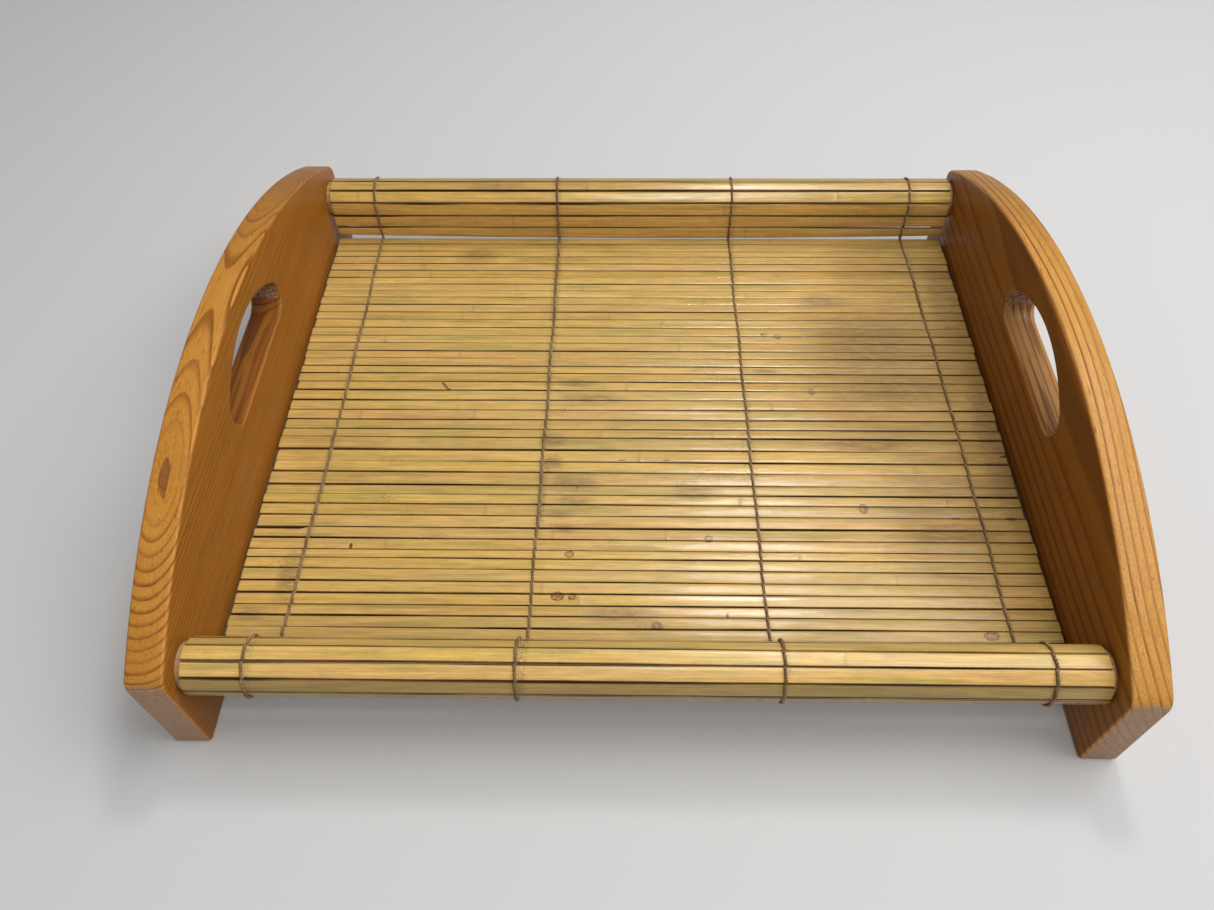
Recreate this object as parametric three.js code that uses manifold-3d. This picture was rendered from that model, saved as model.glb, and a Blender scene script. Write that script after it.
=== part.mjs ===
// Serving tray: two pine side panels with hand holes, joined by two round rim bars
// and two floor rails. A woven mat of bamboo slats covers the floor, climbs both
// walls and is wrapped round the rim bars. Millimetres, +Z up, +Y to the back,
// origin at the middle of the underside.
import * as THREE from 'three';
import { mergeVertices } from 'three/addons/utils/BufferGeometryUtils.js';
import Module from 'manifold-3d';

const wasm = await Module();
wasm.setup();

// ---- Driving dimensions ----
const innerWidth = 414; // between the side panels
const clearance = 0.3; // between neighbouring pieces

const panelLength = 378;
const panelThickness = 18;
const panelApexHeight = 113;
const panelEndHeight = 61; // where the arched top edge would meet the end face
const panelTopCornerRadius = 9;
const panelFootRadius = 2.5;
const panelEdgeRound = 1.8;

const handHoleWidth = 98;
const handHoleHeight = 34;
const handHoleCornerRadius = 10.5;
const gripThickness = 14; // wood above the hand hole

const dowelDiameter = 22;
const dowelChamfer = 0.8;
const dowelBoreDepth = 8;
const rimSetback = 5; // from the panel's end face to the rim roll
const rimDrop = 0.6; // from the panel's end height down to the top of the rim roll

const slatThickness = 1.6;
const slatGap = 0.9;
const slatEndGap = 1.2; // from a slat's end to the panel
const slatEdgeRound = 0.35;
const floorSlatCount = 46;
const floorTopHeight = 24.5;
const wallSlatCount = 2;
const wallFootGap = 2.4; // from the floor up to the lowest wall slat
const rollSlatCount = 8;
const rollSlatPitch = THREE.MathUtils.degToRad(34);
const rollFirstAngle = THREE.MathUtils.degToRad(8); // of the slat where the wall meets the roll
const rollSeamDepth = 0.9; // groove between two neighbouring slats of a roll

const threadCount = 4;
const threadWidth = 1.4;
const threadThickness = 0.8;
const threadEndInset = 27; // from a slat's end to the outermost thread
const threadShift = 3.2; // the threads sit a little to the right of the middle

const boardThickness = 3;
const boardGrooveDepth = 6;
const boardEndInset = 3; // from the wall's inner face to the board's end
const railDepth = 12;
const railHeight = 10;

// ---- Segments along curves ----
const topArcSegments = 36;
const cornerSegments = 5;
const footSegments = 2;
const handArchSegments = 14;
const roundSegments = 28;
const edgeRoundSegments = 2;
const threadArcSegments = 14;

// ---- Sizes worked out from the ones above ----
const panelHalfLength = panelLength / 2;
const dowelRadius = dowelDiameter / 2;
const rollInnerRadius = dowelRadius + clearance;
const rollOuterRadius = rollInnerRadius + slatThickness;
const rollSlatWidth = 2 * rollInnerRadius * Math.tan(rollSlatPitch / 2);
const rollCornerRadius = Math.hypot(rollOuterRadius, rollSlatWidth / 2);
const rollEndAngle = rollFirstAngle + (rollSlatCount - 0.5) * rollSlatPitch;
const rimY = panelHalfLength - rimSetback - rollOuterRadius;
const rimZ = panelEndHeight - rimDrop - rollOuterRadius;
const wallY = rimY - rollOuterRadius; // inner face of both walls
const floorPitch = 2 * wallY / floorSlatCount;
const floorSlatWidth = floorPitch - slatGap;
const floorUnderside = floorTopHeight - slatThickness;
const slatLength = innerWidth - 2 * slatEndGap;
const threadTop = floorTopHeight + clearance + threadThickness;
const threadUnderside = floorUnderside - clearance - threadThickness;
const boardTop = threadUnderside - clearance;
const boardUnderside = boardTop - boardThickness;
const boardHalfLength = wallY - boardEndInset;
const boardWidth = innerWidth + 2 * (boardGrooveDepth - clearance);
const railTop = boardUnderside - clearance;

// ---- Materials ----
const pine = (color) => new THREE.MeshStandardMaterial({ color, roughness: 0.38, metalness: 0 });
const bamboo = (color) => new THREE.MeshStandardMaterial({ color, roughness: 0.42, metalness: 0 });
const string = () => new THREE.MeshStandardMaterial({ color: 0x6f5a3c, roughness: 0.9, metalness: 0 });
const bareWood = (color) => new THREE.MeshStandardMaterial({ color, roughness: 0.7, metalness: 0 });
const panelColor = 0xb9772e;
const rimSlatColor = 0xc29a55;
const floorSlatColors = [0xcaa461, 0xc0985a, 0xd0ad6c];
const dowelColor = 0xc9a06a;
const boardColor = 0x6b4a2c;
const railColor = 0xb58a52;

// ---- Helpers ----

function polar(radius, angle) {
  return new THREE.Vector2(radius * Math.cos(angle), radius * Math.sin(angle));
}

// Points of an arc, both ends included.
function arc(centreX, centreY, radius, startAngle, endAngle, segments) {
  const centre = new THREE.Vector2(centreX, centreY);
  const points = [];
  for (let i = 0; i <= segments; i += 1) {
    const angle = startAngle + (endAngle - startAngle) * i / segments;
    points.push(polar(radius, angle).add(centre));
  }
  return points;
}

function mirrored(points) {
  return points.map((p) => new THREE.Vector2(-p.x, p.y)).reverse();
}

function rectangle(low, high) {
  return [
    new THREE.Vector2(low.x, low.y),
    new THREE.Vector2(high.x, low.y),
    new THREE.Vector2(high.x, high.y),
    new THREE.Vector2(low.x, high.y),
  ];
}

// A section drawn in the YZ plane, extruded along X and centred on x = 0.
function extrudeAlongX(shape, width, edgeRound = 0) {
  const geometry = new THREE.ExtrudeGeometry(shape, {
    depth: width - 2 * edgeRound,
    steps: 1,
    bevelEnabled: edgeRound > 0,
    bevelThickness: edgeRound,
    bevelSize: edgeRound,
    bevelOffset: -edgeRound,
    bevelSegments: edgeRoundSegments,
  });
  geometry.translate(0, 0, edgeRound - width / 2);
  const sectionToTray = new THREE.Matrix4().makeBasis(
    new THREE.Vector3(0, 1, 0),
    new THREE.Vector3(0, 0, 1),
    new THREE.Vector3(1, 0, 0),
  );
  return geometry.applyMatrix4(sectionToTray);
}

// A round bar along X, centred on x = 0, with chamfered ends.
function roundBar(radius, length, chamfer) {
  const half = length / 2;
  const profile = [
    new THREE.Vector2(0, -half),
    new THREE.Vector2(radius - chamfer, -half),
    new THREE.Vector2(radius, -half + chamfer),
    new THREE.Vector2(radius, half - chamfer),
    new THREE.Vector2(radius - chamfer, half),
    new THREE.Vector2(0, half),
  ];
  return new THREE.LatheGeometry(profile, roundSegments).rotateZ(-Math.PI / 2);
}

function toSolid(geometry) {
  const bare = geometry.clone();
  bare.deleteAttribute('normal');
  bare.deleteAttribute('uv');
  const merged = mergeVertices(bare);
  return new wasm.Manifold(new wasm.Mesh({
    numProp: 3,
    vertProperties: new Float32Array(merged.attributes.position.array),
    triVerts: new Uint32Array(merged.index.array),
  }));
}

function toGeometry(solid) {
  const mesh = solid.getMesh();
  const geometry = new THREE.BufferGeometry();
  geometry.setAttribute('position', new THREE.BufferAttribute(mesh.vertProperties, 3));
  geometry.setIndex(new THREE.BufferAttribute(mesh.triVerts, 1));
  geometry.computeVertexNormals();
  return geometry;
}

function piece(name, geometry, material, x = 0, y = 0, z = 0) {
  const mesh = new THREE.Mesh(geometry, material);
  mesh.name = name;
  mesh.position.set(x, y, z);
  return mesh;
}

// ---- Side panels ----

// Half of the panel's outline, from the middle of the foot to the middle of the arch.
function panelOutline() {
  const rise = panelApexHeight - panelEndHeight;
  const archRadius = (panelHalfLength ** 2 + rise ** 2) / (2 * rise);
  const archCentreZ = panelApexHeight - archRadius;
  const cornerY = panelHalfLength - panelTopCornerRadius;
  const cornerZ = archCentreZ + Math.sqrt((archRadius - panelTopCornerRadius) ** 2 - cornerY ** 2);
  const cornerAngle = Math.atan2(cornerZ - archCentreZ, cornerY);
  const footY = panelHalfLength - panelFootRadius;
  const backHalf = [
    ...arc(footY, panelFootRadius, panelFootRadius, -Math.PI / 2, 0, footSegments),
    ...arc(cornerY, cornerZ, panelTopCornerRadius, 0, cornerAngle, cornerSegments),
  ];
  const arch = arc(0, archCentreZ, archRadius, cornerAngle, Math.PI - cornerAngle, topArcSegments);
  return [...backHalf, ...arch.slice(1, -1), ...mirrored(backHalf)];
}

// A flat bottom, an arched top, and round corners that run smoothly into both.
function handHoleOutline() {
  const top = panelApexHeight - gripThickness;
  const bottom = top - handHoleHeight;
  const radius = handHoleCornerRadius;
  const cornerY = handHoleWidth / 2 - radius;
  const cornerZ = bottom + radius;
  const drop = top - cornerZ;
  const archRadius = (cornerY ** 2 + drop ** 2 - radius ** 2) / (2 * (drop - radius));
  const archCentreZ = top - archRadius;
  const archAngle = Math.atan2(cornerZ - archCentreZ, cornerY);
  const corner = arc(cornerY, cornerZ, radius, -Math.PI / 2, archAngle, 2 * cornerSegments);
  const arch = arc(0, archCentreZ, archRadius, archAngle, Math.PI - archAngle, handArchSegments);
  return [...corner, ...arch.slice(1, -1), ...mirrored(corner)];
}

function boardGroove() {
  const low = new THREE.Vector2(-boardHalfLength - clearance, boardUnderside - clearance);
  const high = new THREE.Vector2(boardHalfLength + clearance, boardTop + clearance);
  return extrudeAlongX(new THREE.Shape(rectangle(low, high)), 2 * boardGrooveDepth);
}

// side is -1 for the left panel and 1 for the right one.
function sidePanel(name, side) {
  const outline = new THREE.Shape(panelOutline());
  outline.holes.push(new THREE.Path(handHoleOutline()));
  let solid = toSolid(extrudeAlongX(outline, panelThickness, panelEdgeRound));
  const innerFace = -side * panelThickness / 2;
  for (const y of [-rimY, rimY]) {
    const bore = roundBar(rollInnerRadius, 2 * dowelBoreDepth, 0).translate(innerFace, y, rimZ);
    solid = solid.subtract(toSolid(bore));
  }
  solid = solid.subtract(toSolid(boardGroove().translate(innerFace, 0, 0)));
  return piece(name, toGeometry(solid), pine(panelColor), side * (innerWidth + panelThickness) / 2);
}

// ---- Frame bars and board ----

function rimDowel(name, y) {
  const length = innerWidth + 2 * (dowelBoreDepth - clearance);
  return piece(name, roundBar(dowelRadius, length, dowelChamfer), bareWood(dowelColor), 0, y, rimZ);
}

function floorRail(name, side) {
  const geometry = new THREE.BoxGeometry(innerWidth - 2 * clearance, railDepth, railHeight);
  const y = side * (boardHalfLength - railDepth / 2);
  return piece(name, geometry, bareWood(railColor), 0, y, railTop - railHeight / 2);
}

function floorBoard() {
  const geometry = new THREE.BoxGeometry(boardWidth, 2 * boardHalfLength, boardThickness);
  return piece('floor_board', geometry, bareWood(boardColor), 0, 0, boardTop - boardThickness / 2);
}

// ---- Slats ----

// A flat strip whose two upper edges are eased.
function floorSlat(name, y, color) {
  const half = floorSlatWidth / 2;
  const section = new THREE.Shape([
    new THREE.Vector2(-half, 0),
    new THREE.Vector2(half, 0),
    new THREE.Vector2(half, slatThickness - slatEdgeRound),
    new THREE.Vector2(half - slatEdgeRound, slatThickness),
    new THREE.Vector2(slatEdgeRound - half, slatThickness),
    new THREE.Vector2(-half, slatThickness - slatEdgeRound),
  ]);
  return piece(name, extrudeAlongX(section, slatLength), bamboo(color), 0, y, floorUnderside);
}

// The slats of one wall and one roll, joined side by side at their undersides.
// The section is drawn for the front, round the dowel's axis, with +x to the inside.
function rimSlatSection() {
  const wallTop = rollInnerRadius * Math.tan(rollFirstAngle - rollSlatPitch / 2);
  const wallFoot = floorTopHeight + wallFootGap - rimZ;
  const wallPitch = (wallTop - wallFoot) / wallSlatCount;
  const seamX = rollOuterRadius - rollSeamDepth;
  const upperSide = [];
  for (let i = 0; i < wallSlatCount; i += 1) {
    const low = wallFoot + i * wallPitch;
    upperSide.push(new THREE.Vector2(rollOuterRadius, low));
    upperSide.push(new THREE.Vector2(rollOuterRadius, low + wallPitch - slatGap));
    upperSide.push(new THREE.Vector2(seamX, low + wallPitch - slatGap / 2));
  }
  const halfWidth = (rollSlatWidth - slatGap / 2) / 2;
  const slatCornerRadius = Math.hypot(rollOuterRadius, halfWidth);
  const slatSpread = Math.atan2(halfWidth, rollOuterRadius);
  const underRadius = rollInnerRadius / Math.cos(rollSlatPitch / 2);
  const seamRadius = underRadius + slatThickness - rollSeamDepth;
  for (let i = 0; i < rollSlatCount; i += 1) {
    const angle = rollFirstAngle + i * rollSlatPitch;
    upperSide.push(polar(slatCornerRadius, angle - slatSpread));
    upperSide.push(polar(slatCornerRadius, angle + slatSpread));
    upperSide.push(polar(seamRadius, angle + rollSlatPitch / 2));
  }
  upperSide.pop();
  const underSide = [];
  for (let i = rollSlatCount; i > 0; i -= 1) {
    underSide.push(polar(underRadius, rollFirstAngle + (i - 0.5) * rollSlatPitch));
  }
  underSide.push(new THREE.Vector2(rollInnerRadius, wallTop));
  underSide.push(new THREE.Vector2(rollInnerRadius, wallFoot));
  return [...upperSide, ...underSide];
}

function rimSlats(name, side) {
  const section = rimSlatSection();
  const outline = side < 0 ? section : mirrored(section);
  const geometry = extrudeAlongX(new THREE.Shape(outline), slatLength);
  return piece(name, geometry, bamboo(rimSlatColor), 0, side * rimY, rimZ);
}

// ---- Warp threads ----

// One thread as a ladder: over and under every floor slat, then up both walls
// and round both rolls on the outside of the slats.
function threadSolid() {
  const innerRadius = rollCornerRadius + 2 * clearance;
  const outerRadius = innerRadius + threadThickness;
  const outerArc = arc(-rimY, rimZ, outerRadius, rollEndAngle, 0, threadArcSegments);
  const innerArc = arc(-rimY, rimZ, innerRadius, 0, rollEndAngle, threadArcSegments);
  const frontTop = [...outerArc, new THREE.Vector2(outerRadius - rimY, threadTop)];
  const frontUnder = [
    new THREE.Vector2(-wallY - clearance, threadUnderside),
    new THREE.Vector2(-wallY - clearance, threadTop),
    new THREE.Vector2(innerRadius - rimY, threadTop),
    ...innerArc,
  ];
  const outline = [...frontTop, ...mirrored(frontTop), ...mirrored(frontUnder), ...frontUnder];
  let solid = toSolid(extrudeAlongX(new THREE.Shape(outline), threadWidth));
  for (let i = 0; i < floorSlatCount; i += 1) {
    const eye = new THREE.BoxGeometry(
      2 * threadWidth,
      floorSlatWidth + 2 * clearance,
      slatThickness + 2 * clearance,
    );
    eye.translate(0, floorSlatY(i), floorTopHeight - slatThickness / 2);
    solid = solid.subtract(toSolid(eye));
  }
  return solid;
}

function floorSlatY(index) {
  return (index + 0.5) * floorPitch - wallY;
}

// ---- The tray ----

const tray = new THREE.Group();
tray.add(sidePanel('left_side_panel', -1));
tray.add(sidePanel('right_side_panel', 1));
tray.add(rimDowel('front_rim_dowel', -rimY));
tray.add(rimDowel('back_rim_dowel', rimY));
tray.add(floorBoard());
tray.add(floorRail('front_floor_rail', -1));
tray.add(floorRail('back_floor_rail', 1));
tray.add(rimSlats('front_rim_slats', -1));
tray.add(rimSlats('back_rim_slats', 1));

for (let i = 0; i < floorSlatCount; i += 1) {
  const number = String(i + 1).padStart(2, '0');
  const color = floorSlatColors[i % floorSlatColors.length];
  tray.add(floorSlat(`floor_slat_${number}`, floorSlatY(i), color));
}

const threadGeometry = toGeometry(threadSolid());
const threadSpacing = (slatLength - 2 * threadEndInset) / (threadCount - 1);
for (let i = 0; i < threadCount; i += 1) {
  const x = threadShift + (i - (threadCount - 1) / 2) * threadSpacing;
  tray.add(piece(`warp_thread_${i + 1}`, threadGeometry, string(), x));
}

export default tray;
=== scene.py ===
"""Serving tray: varnished pine side panels and a woven mat of bamboo slats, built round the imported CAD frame.

Lengths are metres in the frame's own axes: +X to the right along the slats, +Y to the back, +Z up.
"""
import math

import bmesh
import bpy
import numpy as np
from mathutils import Matrix, Vector


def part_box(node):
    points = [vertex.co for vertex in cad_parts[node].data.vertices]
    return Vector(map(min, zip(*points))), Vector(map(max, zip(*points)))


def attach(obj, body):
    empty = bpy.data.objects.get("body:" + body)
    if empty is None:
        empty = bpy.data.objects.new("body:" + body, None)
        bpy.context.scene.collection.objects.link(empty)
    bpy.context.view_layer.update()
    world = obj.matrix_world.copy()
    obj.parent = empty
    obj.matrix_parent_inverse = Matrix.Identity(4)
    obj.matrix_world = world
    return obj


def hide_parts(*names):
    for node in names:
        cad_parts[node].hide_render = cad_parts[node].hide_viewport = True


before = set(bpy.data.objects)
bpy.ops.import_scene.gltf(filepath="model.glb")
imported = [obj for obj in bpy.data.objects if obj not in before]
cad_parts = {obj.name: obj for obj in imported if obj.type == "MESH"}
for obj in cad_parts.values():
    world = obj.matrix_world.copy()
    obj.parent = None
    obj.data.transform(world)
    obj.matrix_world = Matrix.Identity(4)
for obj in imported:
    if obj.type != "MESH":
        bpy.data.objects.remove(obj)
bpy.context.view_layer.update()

MM = 0.001
rng = np.random.default_rng(11)

# ---------------------------------------- sizes read from the frame

LEFT_LOW, LEFT_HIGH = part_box("left_side_panel")
RIGHT_LOW, RIGHT_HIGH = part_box("right_side_panel")
DOWEL_LOW, DOWEL_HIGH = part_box("front_rim_dowel")
BOARD_LOW, BOARD_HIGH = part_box("floor_board")
SLAT_LOW, SLAT_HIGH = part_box("floor_slat_01")
FLOOR_SLATS = sorted(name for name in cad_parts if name.startswith("floor_slat_"))
THREADS = sorted(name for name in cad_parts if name.startswith("warp_thread_"))
THREAD_X = [(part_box(name)[0][0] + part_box(name)[1][0]) / 2 for name in THREADS]

PANEL_THICKNESS = LEFT_HIGH[0] - LEFT_LOW[0]
PANEL_HALF_LENGTH = LEFT_HIGH[1]
PANEL_APEX = LEFT_HIGH[2]
PANEL_CENTRE_X = (RIGHT_LOW[0] + RIGHT_HIGH[0]) / 2
DOWEL_RADIUS = (DOWEL_HIGH[2] - DOWEL_LOW[2]) / 2
RIM_Y = -(DOWEL_LOW[1] + DOWEL_HIGH[1]) / 2
RIM_Z = (DOWEL_LOW[2] + DOWEL_HIGH[2]) / 2
SLAT_THICKNESS = SLAT_HIGH[2] - SLAT_LOW[2]
SLAT_HALF_LENGTH = SLAT_HIGH[0]
FLOOR_TOP = SLAT_HIGH[2]
CLEARANCE = 0.3 * MM
ROLL_RADIUS = DOWEL_RADIUS + CLEARANCE  # underside of the wrapped slats
WALL_Y = RIM_Y - ROLL_RADIUS - SLAT_THICKNESS  # inner face of both walls

# ---------------------------------------- sizes that a box can't tell

PANEL_END_HEIGHT = 61 * MM
PANEL_TOP_CORNER = 9 * MM
PANEL_FOOT_CORNER = 2.5 * MM
PANEL_EDGE_ROUND = 1.8 * MM
HAND_HOLE_WIDTH = 98 * MM
HAND_HOLE_HEIGHT = 34 * MM
HAND_HOLE_CORNER = 10.5 * MM
GRIP_THICKNESS = 14 * MM
GROOVE_DEPTH = 6 * MM
BORE_DEPTH = 8 * MM
BORE_SIDES = 48
DOWEL_SIDES = 64


# ======================================== mesh helpers


def arc(centre, radius, start, end, segments):
    """Points of an arc in a plane, both ends included."""
    angles = np.linspace(start, end, segments + 1)
    return np.column_stack([centre[0] + radius * np.cos(angles), centre[1] + radius * np.sin(angles)])


def mirrored(points):
    return (points * [-1, 1])[::-1]


def finish_piece(obj, material, slot, *nodes):
    """What every piece needs: its material, its body and the CAD nodes it stands for; the slot argument is not
    used.
    """
    obj.data.materials.clear()
    obj.data.materials.append(material)
    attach(obj, "root")
    if nodes:
        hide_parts(*nodes)
    return obj


def new_object(name, vertices, faces):
    mesh = bpy.data.meshes.new(name)
    mesh.from_pydata([tuple(v) for v in vertices], [], faces)
    mesh.update()
    obj = bpy.data.objects.new(name, mesh)
    bpy.context.scene.collection.objects.link(obj)
    return obj


def smooth_by_angle(obj, degrees=35):
    """Smooth shading that stays crisp where two faces meet at more than this angle."""
    work = bmesh.new()
    work.from_mesh(obj.data)
    bmesh.ops.recalc_face_normals(work, faces=work.faces)
    for face in work.faces:
        face.smooth = True
    for edge in work.edges:
        edge.smooth = len(edge.link_faces) == 2 and edge.calc_face_angle() < math.radians(degrees)
    work.to_mesh(obj.data)
    work.free()


def loft_faces(ring_count, ring_size):
    """Quads between closed rings, with a cap on each end."""
    faces = []
    for start in range(0, (ring_count - 1) * ring_size, ring_size):
        for j in range(ring_size):
            here, ahead = start + j, start + (j + 1) % ring_size
            faces.append((here, ahead, ahead + ring_size, here + ring_size))
    faces.append(tuple(range(ring_size))[::-1])
    last = (ring_count - 1) * ring_size
    faces.append(tuple(range(last, last + ring_size)))
    return faces


def store(obj, name, values):
    """A number for each vertex, which the material reads by name."""
    attribute = obj.data.attributes.new(name, "FLOAT", "POINT")
    attribute.data.foreach_set("value", np.asarray(values, dtype=np.float32))


# ======================================== node helpers


class Shader:
    """A material's node tree, built by short calls that take numbers or sockets."""

    def __init__(self, name):
        self.material = bpy.data.materials.new(name)
        self.material.use_nodes = True
        self.tree = self.material.node_tree
        self.tree.nodes.clear()
        output = self.node("OutputMaterial")
        self.principled = self.node("BsdfPrincipled")
        self.put(output.inputs[0], self.principled.outputs[0])

    def put(self, socket, value):
        if isinstance(value, bpy.types.NodeSocket):
            self.tree.links.new(value, socket)
        else:
            socket.default_value = value

    def node(self, kind, *values, **settings):
        """A new node with these settings and, in their order, these inputs."""
        node = self.tree.nodes.new("ShaderNode" + kind)
        for name, setting in settings.items():
            setattr(node, name, setting)
        for socket, value in zip(node.inputs, values):
            self.put(socket, value)
        return node

    def math(self, operation, *values):
        return self.node("Math", *values, operation=operation).outputs[0]

    def mix(self, factor, a, b, blend="MIX"):
        node = self.node("Mix", factor, data_type="RGBA", blend_type=blend)
        for socket, color in ((node.inputs[6], a), (node.inputs[7], b)):
            self.put(socket, color if isinstance(color, bpy.types.NodeSocket) else (*color, 1))
        return node.outputs[2]

    def tinted(self, factor, color, tint):
        """The color multiplied by the tint, as far as factor says."""
        return self.mix(factor, color, self.mix(1.0, color, tint, blend="MULTIPLY"))

    def shaded(self, color, shade):
        """The color made lighter or darker by the number shade."""
        return self.mix(1.0, color, self.vector(shade, shade, shade), blend="MULTIPLY")

    def step(self, value, low, high, out_low=0.0, out_high=1.0):
        """Goes smoothly from out_low to out_high while value goes from low to high."""
        values = (value, low, high, out_low, out_high)
        return self.node("MapRange", *values, interpolation_type="SMOOTHSTEP").outputs[0]

    def noise(self, vector, scale=1.0, detail=2.0, roughness=0.5):
        node = self.node("TexNoise", vector)
        for name, value in (("Scale", scale), ("Detail", detail), ("Roughness", roughness)):
            node.inputs[name].default_value = value
        return node.outputs[0]

    def white(self, w):
        node = self.node("TexWhiteNoise", noise_dimensions="1D")
        self.put(node.inputs["W"], w)
        return node.outputs[0]

    def cells(self, vector, w, scale):
        """(distance to the nearest cell centre, the cell's own random number)."""
        node = self.node("TexVoronoi", vector, w, scale, voronoi_dimensions="4D")
        return node.outputs["Distance"], self.node("SeparateColor", node.outputs["Color"]).outputs[0]

    def place(self):
        """The point's place in the object's own space, and its three parts."""
        place = self.node("TexCoord").outputs["Object"]
        return place, *self.node("SeparateXYZ", place).outputs

    def vector(self, x, y, z):
        return self.node("CombineXYZ", x, y, z).outputs[0]

    def stretched(self, place, x, y, z):
        """The place with each part scaled by its own number, so that a noise on it is drawn out."""
        return self.node("VectorMath", place, (x, y, z), operation="MULTIPLY").outputs[0]

    def length(self, vector):
        return self.node("VectorMath", vector, operation="LENGTH").outputs["Value"]

    def spots(self, place, spots, ragged=0.0):
        """The highest of 1 - distance over the spots (x, y, x radius, y radius), with uneven edges."""
        highest = 0.0
        for x, y, x_radius, y_radius in spots:
            offset = self.node("VectorMath", place, (x * MM, y * MM, 0), operation="SUBTRACT").outputs[0]
            apart = self.stretched(offset, 1 / (x_radius * MM), 1 / (y_radius * MM), 0)
            highest = self.math("MAXIMUM", highest, self.math("SUBTRACT", 1.0, self.length(apart)))
        if ragged:
            wobble = self.noise(self.stretched(place, 500, 500, 500))
            highest = self.math("MULTIPLY", highest, self.step(wobble, 0.3, 0.7, 1 - ragged, 1 + ragged))
        return highest

    def own(self, name):
        """The number of this name that the mesh carries."""
        return self.node("Attribute", attribute_name=name).outputs["Fac"]

    def facing(self):
        """The size of the surface normal's parts."""
        normal = self.node("NewGeometry").outputs["Normal"]
        return [self.math("ABSOLUTE", part) for part in self.node("SeparateXYZ", normal).outputs]

    def finish(self, color, roughness, height, bump_distance, **constants):
        """Wires up the surface. Each of the constants is the same all over it."""
        bump = self.node("Bump")
        self.put(bump.inputs["Height"], height)
        bump.inputs["Distance"].default_value = bump_distance
        self.put(self.principled.inputs["Base Color"], color)
        self.put(self.principled.inputs["Roughness"], roughness)
        self.put(self.principled.inputs["Normal"], bump.outputs[0])
        for name, value in constants.items():
            self.principled.inputs[name.replace("_", " ")].default_value = value
        return self.material


# ======================================== pine

RING_BEND = 7 * MM  # how far the growth rings stray from true cylinders
RING_RIPPLE = 1.1 * MM
KNOT_REACH = (1.9 * MM, 8 * MM, 7 * MM)
KNOT_SWELL = 1.6 * MM  # how far the rings swerve round the knot
HOLE_BLEND = 1 * MM
DARK_FROM, DARK_TO = 10 * MM, 150 * MM  # where painted shade makes the top edges go darker towards the back


def growth_radius(s, place, x, y, z, pith, pith_slope):
    """How far from the pith the wood grew, with the waviness of a real trunk."""
    sway = s.noise(s.stretched(place, 14, 4.0, 14), detail=1.0)
    waver = s.noise(s.stretched(place, 60, 9, 60))
    dx = s.math("SUBTRACT", x, pith[0])
    axis_z = s.math("MULTIPLY_ADD", s.math("SUBTRACT", y, pith[1]), pith_slope, pith[2])
    dz = s.math("SUBTRACT", z, axis_z)
    radius = s.math("SQRT", s.math("ADD", s.math("MULTIPLY", dx, dx), s.math("MULTIPLY", dz, dz)))
    bend = s.math("MULTIPLY", s.math("SUBTRACT", sway, 0.5), RING_BEND)
    ripple = s.math("MULTIPLY", s.math("SUBTRACT", waver, 0.5), RING_RIPPLE)
    return s.math("ADD", radius, s.math("ADD", bend, ripple))


def knot_reach(s, place, parts, knot):
    """0 at the middle of the knot, about 1 at its ragged edge."""
    reach = 0.0
    for part, centre, size in zip(parts, knot, KNOT_REACH):
        share = s.math("DIVIDE", s.math("SUBTRACT", part, centre), size)
        reach = s.math("MULTIPLY_ADD", share, share, reach)
    jagged = s.noise(s.stretched(place, 420, 160, 420), detail=3.0)
    return s.math("MULTIPLY_ADD", s.math("SUBTRACT", jagged, 0.5), 2.2, s.math("SQRT", reach))


def latewood_share(s, radius, ring):
    """0 in pale early wood, up to 1 in dark late wood, fainter in some years and near the pith."""
    phase = s.math("DIVIDE", radius, ring)
    within = s.math("FRACT", phase)
    year = s.math("FLOOR", phase)
    into = s.math("POWER", s.step(within, 0.42, 0.90), 2.0)
    share = s.math("MULTIPLY", into, s.step(within, 1.0, 0.95))
    share = s.math("MULTIPLY", share, s.step(s.white(year), 0.0, 1.0, 0.55, 1.0))
    return s.math("MULTIPLY", share, s.step(radius, 2.2 * ring, 5.0 * ring, 0.22, 1.0))


def end_grain_color(s, place, latewood, in_hole):
    """What the feet's fronts and backs and both ends of the hand hole look like."""
    pores = s.noise(s.stretched(place, 1300, 1300, 1300))
    color = s.mix(s.math("MULTIPLY", latewood, 0.35), (0.45, 0.275, 0.165), (0.21, 0.095, 0.05))
    color = s.mix(s.step(pores, 0.45, 0.7, 0.0, 0.5), color, (0.21, 0.125, 0.075))
    mottle = s.noise(s.stretched(place, 700, 700, 700), detail=3.0, roughness=0.7)
    mottled = s.math("MULTIPLY", s.step(mottle, 0.47, 0.60), s.math("MULTIPLY_ADD", in_hole, 0.55, 0.20))
    return s.mix(mottled, color, (0.075, 0.036, 0.018))


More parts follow.
